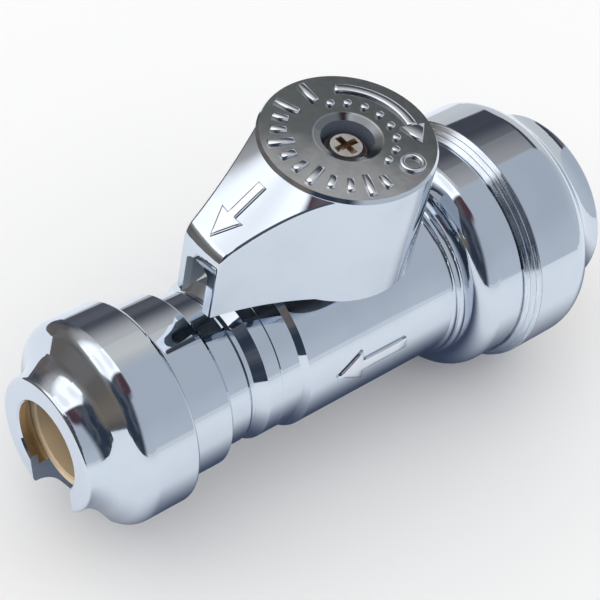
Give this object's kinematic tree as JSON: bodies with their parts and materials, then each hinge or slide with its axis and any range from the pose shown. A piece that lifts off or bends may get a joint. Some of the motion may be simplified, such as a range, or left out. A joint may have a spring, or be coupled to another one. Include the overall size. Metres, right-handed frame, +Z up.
{
  "type": "isolating valve",
  "caption": "Straight quarter-turn isolating valve: a hollow lever handle turns a ball in a plated body, with a push-fit tube socket and release collar at each end.",
  "frame": {"origin": "on the flow axis, at the stop that the larger tube meets", "axes": "+X along the flow, out of the large socket; +Z up the stem to the handle's disc; the lever lies towards -X when the valve is open"},
  "size_m": [0.0698, 0.029, 0.0408],
  "materials": {
    "plated_body": "bright plating over brass",
    "plated_cap": "bright plating over brass",
    "plated_handle": "bright plating over a casting",
    "plated_ball": "polished plating",
    "screw_steel": "turned steel",
    "spring_steel": "stamped spring steel",
    "bare_brass": "machined brass",
    "seat_white": "waxy white plastic",
    "ring_plastic": "moulded off-white plastic",
    "collar_tan": "moulded tan plastic",
    "seal_rubber": "black sealing rubber"
  },
  "bodies": {
    "valve": {"valve_body": "plated_body", "small_end_cap": "plated_cap", "large_end_cap": "plated_cap", "ball_retainer": "bare_brass", "small_side_seat": "seat_white", "large_side_seat": "seat_white", "thrust_washer": "seat_white", "small_tube_oring": "seal_rubber", "large_tube_oring": "seal_rubber", "small_oring_spacer": "ring_plastic", "large_oring_spacer": "ring_plastic", "small_grab_ring": "spring_steel", "large_grab_ring": "spring_steel", "small_grab_support": "ring_plastic", "large_grab_support": "ring_plastic"},
    "lever": {"handle": "plated_handle", "handle_screw": "screw_steel", "stem": "bare_brass", "lower_stem_oring": "seal_rubber", "upper_stem_oring": "seal_rubber", "ball": "plated_ball"},
    "small_collar": {"small_release_collar": "collar_tan"},
    "large_collar": {"large_release_collar": "collar_tan"}
  },
  "joints": [
    {"name": "lever_turn", "type": "hinge", "parent": "valve", "child": "lever", "pos_m": [-0.011, 0, 0], "axis": [0, 0, -1], "range_deg": [0, 90]},
    {"name": "small_collar_push", "type": "slide", "parent": "valve", "child": "small_collar", "axis": [1, 0, 0], "range_m": [0, 0.0012], "stiffness_N_per_m": 50},
    {"name": "large_collar_push", "type": "slide", "parent": "valve", "child": "large_collar", "axis": [-1, 0, 0], "range_m": [0, 0.0015], "stiffness_N_per_m": 50}
  ]
}
